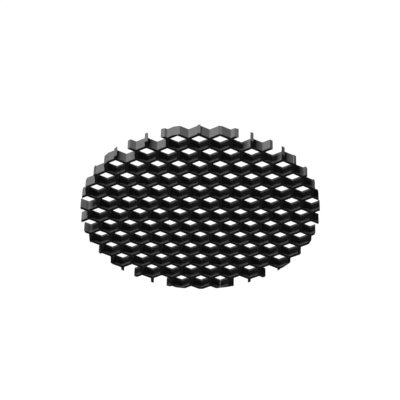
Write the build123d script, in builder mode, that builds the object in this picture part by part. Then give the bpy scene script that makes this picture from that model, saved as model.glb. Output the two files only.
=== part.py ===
from build123d import *
import os
from math import sqrt

os.makedirs("parts", exist_ok=True)

# A round honeycomb light grid with no frame. Its core is a row of upright corrugated strips.
# Each is folded back and forth inside its own band and welded to the next along flat lands.
# Frame: the light passes along Y and leaves through the front face at -Y, +Z is up, and the
# origin is the centre of the disc, halfway through its depth.

# Driving dimensions, in millimetres and degrees
cell_pitch = 6.35  # from the centre of one cell to the next: a quarter-inch cell
wall = 0.92  # thickness of every wall, at a weld as well as between two welds
depth = 3.5  # front to back
long_radius = 37.73  # the disc is cut by hand, a little longer one way than the other
short_radius = 36.93
long_way = 28  # angle of the longer way, up from +X
core_drop = 0.27  # how far the middle cell sits below the centre of the disc
corner_radius = 0.15  # inside bend at each corner of a cell
sprung_gap = 0.03  # between two strips whose last weld has been cut away
strip_count = 24

# Worked out from them
band = cell_pitch / 2  # width of the band that one strip folds back and forth in
row_step = cell_pitch * sqrt(3) / 2  # height from one row of cells to the next
opening_radius = (cell_pitch - wall) / sqrt(3)  # from a cell's centre to its inside corner
last_row = int(long_radius / row_step) + 1  # cells beyond this row stand clear of the disc
back_plane = Plane.XZ.offset(-depth / 2)

# The cut has taken away one weld, below the right-hand cell of the bottom row, six rows down
sprung_line = 2
sprung_height = -core_drop - 6 * row_step - cell_pitch / sqrt(3)

# The clear opening of one cell: a hexagon with a corner at its top and its bottom
with BuildSketch() as opening:
    RegularPolygon(opening_radius, 6, rotation=90)
    fillet(opening.vertices(), corner_radius)


def cells_along(line):
    """Centres of the cells on one upright line, the line counted in bands from the middle cell."""
    rows = [row for row in range(-last_row, last_row + 1) if (row - line) % 2 == 0]
    return [(line * band, row * row_step - core_drop) for row in rows]


def corrugated_strip(left_line):
    """One strip, between two neighbouring lines of cell centres, cut to the round of the disc.

    The openings on both lines bite into the band in turn, which leaves the folded strip. Its
    lands lie on the two lines and are half a wall thick, so two welded lands make one wall.
    """
    with BuildPart() as strip:
        with BuildSketch(back_plane):
            Ellipse(long_radius, short_radius, rotation=long_way)
            with Locations(((left_line + 0.5) * band, 0)):
                Rectangle(band, 2 * long_radius, mode=Mode.INTERSECT)
            with Locations(cells_along(left_line) + cells_along(left_line + 1)):
                add(opening.sketch, mode=Mode.SUBTRACT)
            with Locations((sprung_line * band, sprung_height)):
                Rectangle(sprung_gap, 2 * wall, mode=Mode.SUBTRACT)
        extrude(amount=depth)
    return strip.part


for number in range(1, strip_count + 1):
    name = f"strip_{number:02d}"
    strip_part = corrugated_strip(number - 1 - strip_count // 2)
    strip_part.label = name
    export_step(strip_part, f"parts/{name}.step")
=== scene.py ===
from collections import namedtuple
from math import radians

import bpy
from mathutils import Matrix, Vector

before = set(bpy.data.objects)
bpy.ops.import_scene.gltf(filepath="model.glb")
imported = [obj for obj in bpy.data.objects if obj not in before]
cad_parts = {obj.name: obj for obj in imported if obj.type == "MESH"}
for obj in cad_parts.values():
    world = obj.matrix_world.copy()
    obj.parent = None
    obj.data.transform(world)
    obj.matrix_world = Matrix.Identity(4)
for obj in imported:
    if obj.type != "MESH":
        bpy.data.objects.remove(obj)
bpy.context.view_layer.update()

# Lengths are in metres and powers in watts.

# The camera's place, worked out from the disc's tilt and perspective in the photograph.
VIEW_AZIMUTH = radians(1.57)  # to the right of the disc's own axis
VIEW_ELEVATION = radians(48.43)
VIEW_ROLL = radians(-0.72)
VIEW_DISTANCE = 0.558
LENS_MM = 159.8
SENSOR_MM = 36.0
AIM_ABOVE = 0.00337  # the disc sits this far below the middle of the picture
QUARTER_TURN = radians(90)

# Matt black paint. The scales are noise features per metre.
PAINT_DARKEST = (0.056, 0.056, 0.057)
PAINT_PALEST = (0.062, 0.062, 0.063)
PAINT_LEAST_ROUGH = 0.60
PAINT_MOST_ROUGH = 0.66
BLOTCH_SCALE = 160
BLOTCH_DETAIL = 3
GRAIN_SCALE = 5200
GRAIN_DETAIL = 2
GRAIN_ROUGHNESS = 0.6
GRAIN_STRENGTH = 0.35
GRAIN_HEIGHT = 0.00002

# The floor, far enough below that the disc's shadow is lost on it.
FLOOR_DROP = 0.40
FLOOR_SIZE = 6.0
FLOOR_DARKEST = (0.90, 0.90, 0.90)
FLOOR_PALEST = (0.92, 0.92, 0.92)
FLOOR_ROUGHNESS = 0.9
CLOUD_SCALE = 3
CLOUD_DETAIL = 2
FLOOR_SUN_STRENGTH = 3.55  # watts per square metre
FLOOR_SUN_ANGLE = radians(60)
WHITE = (1, 1, 1, 1)

# Soft boxes that light the disc and nothing else. Each is placed by the way it leans from straight
# up: degrees ahead of the disc's own plane (less than 0 is behind it) and to its left (less than 0
# is to its right). The two under it light the lower edge, which shows in the other views.
SoftBox = namedtuple("SoftBox", "name ahead left distance breadth length power")
SOFT_BOXES = (
    SoftBox("key", ahead=-0.4, left=25, distance=1.0, breadth=0.37, length=0.5, power=23.5),
    SoftBox("back_left", ahead=-30, left=50, distance=1.0, breadth=0.4, length=0.4, power=0.67),
    SoftBox("back_right", ahead=-30, left=-50, distance=1.0, breadth=0.4, length=0.4, power=0.17),
    SoftBox("front_right", ahead=30, left=-50, distance=1.0, breadth=0.4, length=0.4, power=0.18),
    SoftBox("under_left", ahead=-20, left=130, distance=0.5, breadth=0.3, length=0.3, power=0.70),
    SoftBox("under_right", ahead=-20, left=-130, distance=0.5, breadth=0.3, length=0.3, power=0.70),
)


def new_material(name):
    """A new material, its node tree and its shader, which is joined to the output only."""
    material = bpy.data.materials.new(name)
    material.use_nodes = True
    tree = material.node_tree
    tree.nodes.clear()
    output = tree.nodes.new("ShaderNodeOutputMaterial")
    shader = tree.nodes.new("ShaderNodeBsdfPrincipled")
    tree.links.new(shader.outputs["BSDF"], output.inputs["Surface"])
    return material, tree, shader


def noise(tree, place, scale, detail, roughness=0.5):
    node = tree.nodes.new("ShaderNodeTexNoise")
    node.inputs["Scale"].default_value = scale
    node.inputs["Detail"].default_value = detail
    node.inputs["Roughness"].default_value = roughness
    tree.links.new(place, node.inputs["Vector"])
    return node.outputs["Fac"]


def spread(tree, factor, low, high):
    """Maps a factor of 0 to 1 on to low to high."""
    node = tree.nodes.new("ShaderNodeMapRange")
    node.inputs["To Min"].default_value = low
    node.inputs["To Max"].default_value = high
    tree.links.new(factor, node.inputs["Value"])
    return node.outputs["Result"]


def mixed_colour(tree, factor, first, second):
    node = tree.nodes.new("ShaderNodeMix")
    node.data_type = "RGBA"
    node.inputs["A"].default_value = (*first, 1)
    node.inputs["B"].default_value = (*second, 1)
    tree.links.new(factor, node.inputs["Factor"])
    return node.outputs["Result"]


def black_paint():
    """Thin matt black paint over sheet metal: blotchy, with a fine grain."""
    material, tree, shader = new_material("matt_black_paint")
    place = tree.nodes.new("ShaderNodeTexCoord").outputs["Object"]
    blotches = noise(tree, place, BLOTCH_SCALE, BLOTCH_DETAIL)
    grain = noise(tree, place, GRAIN_SCALE, GRAIN_DETAIL, GRAIN_ROUGHNESS)
    colour = mixed_colour(tree, blotches, PAINT_DARKEST, PAINT_PALEST)
    tree.links.new(colour, shader.inputs["Base Color"])
    roughness = spread(tree, blotches, PAINT_LEAST_ROUGH, PAINT_MOST_ROUGH)
    tree.links.new(roughness, shader.inputs["Roughness"])
    bump = tree.nodes.new("ShaderNodeBump")
    bump.inputs["Strength"].default_value = GRAIN_STRENGTH
    bump.inputs["Distance"].default_value = GRAIN_HEIGHT
    tree.links.new(grain, bump.inputs["Height"])
    tree.links.new(bump.outputs["Normal"], shader.inputs["Normal"])
    return material


def paint_strips():
    paint = black_paint()
    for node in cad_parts.values():
        node.data.materials.clear()
        node.data.materials.append(paint)


def pale_floor():
    """A plain pale floor that the camera sees and the disc doesn't."""
    material, tree, shader = new_material("pale_floor")
    place = tree.nodes.new("ShaderNodeTexCoord").outputs["Object"]
    clouds = noise(tree, place, CLOUD_SCALE, CLOUD_DETAIL)
    colour = mixed_colour(tree, clouds, FLOOR_DARKEST, FLOOR_PALEST)
    tree.links.new(colour, shader.inputs["Base Color"])
    shader.inputs["Roughness"].default_value = FLOOR_ROUGHNESS
    bpy.ops.mesh.primitive_plane_add(size=FLOOR_SIZE, location=(0, 0, -FLOOR_DROP))
    floor = bpy.context.object
    floor.name = "floor"
    floor.data.materials.append(material)
    floor.visible_diffuse = False
    floor.visible_glossy = False
    return floor


def place_camera():
    """A long lens above and in front of the disc, looking down at its front face."""
    turn = Matrix.Rotation(VIEW_AZIMUTH, 4, "Z") @ Matrix.Rotation(-VIEW_ELEVATION, 4, "X")
    towards_camera = turn @ Vector((0, -1, 0))
    upright = turn @ Matrix.Rotation(QUARTER_TURN, 4, "X")
    place = upright @ Matrix.Rotation(VIEW_ROLL, 4, "Z")
    up = place @ Vector((0, 1, 0))
    data = bpy.data.cameras.new("camera")
    data.lens = LENS_MM
    data.sensor_width = SENSOR_MM
    viewer = bpy.data.objects.new("camera", data)
    place.translation = towards_camera * VIEW_DISTANCE + up * AIM_ABOVE
    viewer.matrix_world = place
    bpy.context.scene.collection.objects.link(viewer)
    bpy.context.scene.camera = viewer


def group_of(name, members):
    group = bpy.data.collections.new(name)
    for member in members:
        group.objects.link(member)
    return group


def add_light(data, receivers):
    """Puts a light in the scene that reaches only its receivers."""
    lamp = bpy.data.objects.new(data.name, data)
    bpy.context.scene.collection.objects.link(lamp)
    lamp.light_linking.receiver_collection = receivers
    return lamp


def add_soft_box(box, receivers):
    data = bpy.data.lights.new(box.name, "AREA")
    data.shape = "RECTANGLE"
    data.size = box.length
    data.size_y = box.breadth
    data.energy = box.power
    lamp = add_light(data, receivers)
    to_left = Matrix.Rotation(-radians(box.left), 4, "Y")
    lean = to_left @ Matrix.Rotation(radians(box.ahead), 4, "X")
    lean.translation = lean @ Vector((0, 0, box.distance))
    lamp.matrix_world = lean
    lamp.visible_camera = False


def white_world():
    """White where the camera looks past everything. It lights nothing."""
    world = bpy.data.worlds.new("studio")
    world.use_nodes = True
    world.node_tree.nodes["Background"].inputs["Color"].default_value = WHITE
    world.cycles_visibility.diffuse = False
    world.cycles_visibility.glossy = False
    bpy.context.scene.world = world


def studio_light(floor):
    white_world()
    disc = group_of("lit_disc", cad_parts.values())
    for box in SOFT_BOXES:
        add_soft_box(box, disc)
    overhead = bpy.data.lights.new("overhead", "SUN")
    overhead.energy = FLOOR_SUN_STRENGTH
    overhead.angle = FLOOR_SUN_ANGLE
    add_light(overhead, group_of("lit_stage", [floor]))
    bpy.context.scene.view_settings.view_transform = "Standard"


paint_strips()
ground = pale_floor()
place_camera()
studio_light(ground)
